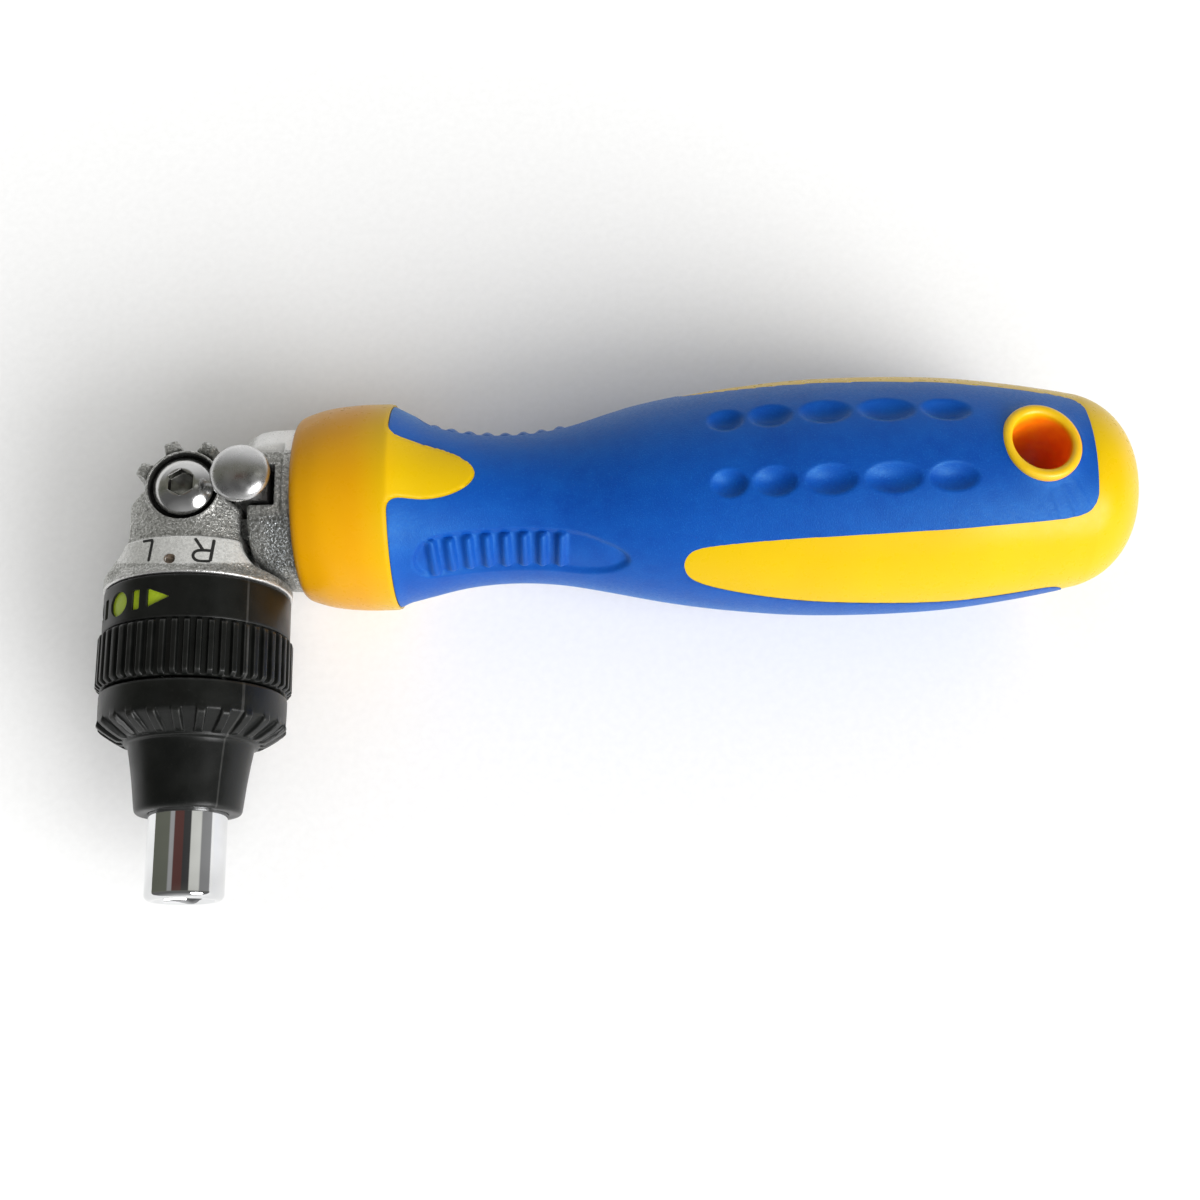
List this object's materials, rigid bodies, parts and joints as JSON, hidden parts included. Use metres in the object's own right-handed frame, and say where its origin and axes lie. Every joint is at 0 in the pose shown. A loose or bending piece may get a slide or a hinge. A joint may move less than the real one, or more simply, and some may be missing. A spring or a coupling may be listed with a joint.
{
  "type": "ratcheting screwdriver",
  "caption": "Ratcheting screwdriver with a two-tone moulded handle, a lockable pivoting head at a right angle, a direction ring with knurl and a chromed hex bit holder.",
  "frame": {"origin": "centre of the bit socket's mouth", "axes": "+X along the handle to its rear end, -Y the way the bit leaves, +Z along the pivot bolt towards its head; the head stands at 90 degrees to the handle"},
  "size_m": [0.1424, 0.07, 0.0332],
  "materials": {
    "yellow_plastic": "satin moulded",
    "blue_rubber": "fine matte texture",
    "cast_metal": "grainy bright casting",
    "polished_steel": "polished",
    "tool_steel": "machined",
    "spring_steel": "drawn",
    "chrome_plate": "mirror plated",
    "black_plastic": "satin moulded",
    "bronze": "sintered",
    "magnet": "plain"
  },
  "bodies": {
    "handle": {"handle_core": "yellow_plastic", "grip_sleeve": "blue_rubber", "neck_yoke": "cast_metal", "lock_spring": "spring_steel"},
    "lock": {"lock_button": "polished_steel", "lock_block": "tool_steel", "lock_clip": "spring_steel"},
    "head": {"head_housing": "cast_metal", "index_wheel": "cast_metal", "pivot_bolt": "polished_steel", "pivot_nut": "tool_steel", "pivot_washers": "tool_steel", "spindle_bush": "bronze", "bush_circlip": "spring_steel", "selector_retainer": "spring_steel", "detent_ball": "polished_steel", "detent_spring": "spring_steel", "pawl_pins": "tool_steel", "pawl_springs": "spring_steel", "thrust_washer": "bronze"},
    "selector": {"selector_ring": "black_plastic"},
    "forward_pawl": {"pawl_forward": "tool_steel"},
    "reverse_pawl": {"pawl_reverse": "tool_steel"},
    "spindle": {"ratchet_wheel": "tool_steel", "drive_shaft": "tool_steel", "bit_holder": "chrome_plate", "bit_magnet": "magnet", "bit_ring": "spring_steel", "nose_sleeve": "black_plastic", "shaft_clip": "spring_steel"}
  },
  "joints": [
    {"name": "head_pivot", "type": "hinge", "parent": "handle", "child": "head", "pos_m": [0, 0.0534, 0], "axis": [0, 0, 1], "range_deg": [-135, 0]},
    {"name": "lock_press", "type": "slide", "parent": "handle", "child": "lock", "axis": [0, 0, -1], "range_m": [0, 0.0026], "stiffness_N_per_m": 600, "springref_m": -0.004, "deforming": ["lock_spring"]},
    {"name": "selector_turn", "type": "hinge", "parent": "head", "child": "selector", "pos_m": [0, 0.034, 0], "axis": [0, 1, 0], "range_deg": [0, 64]},
    {"name": "spindle_spin", "type": "hinge", "parent": "head", "child": "spindle", "pos_m": [0, 0.02, 0], "axis": [0, -1, 0], "continuous": true},
    {"name": "forward_pawl_lift", "type": "hinge", "parent": "head", "child": "forward_pawl", "pos_m": [0.00598, 0.0352, 0.00345], "axis": [0, 1, 0], "range_deg": [0, 6]},
    {"name": "reverse_pawl_drop", "type": "hinge", "parent": "head", "child": "reverse_pawl", "pos_m": [-0.00598, 0.0352, 0.00345], "axis": [0, 1, 0], "range_deg": [0, 6]}
  ],
  "couplings": [
    {"joint": "forward_pawl_lift", "follows": "selector_turn", "ratio": 0.09375},
    {"joint": "reverse_pawl_drop", "follows": "selector_turn", "ratio": 0.09375}
  ]
}
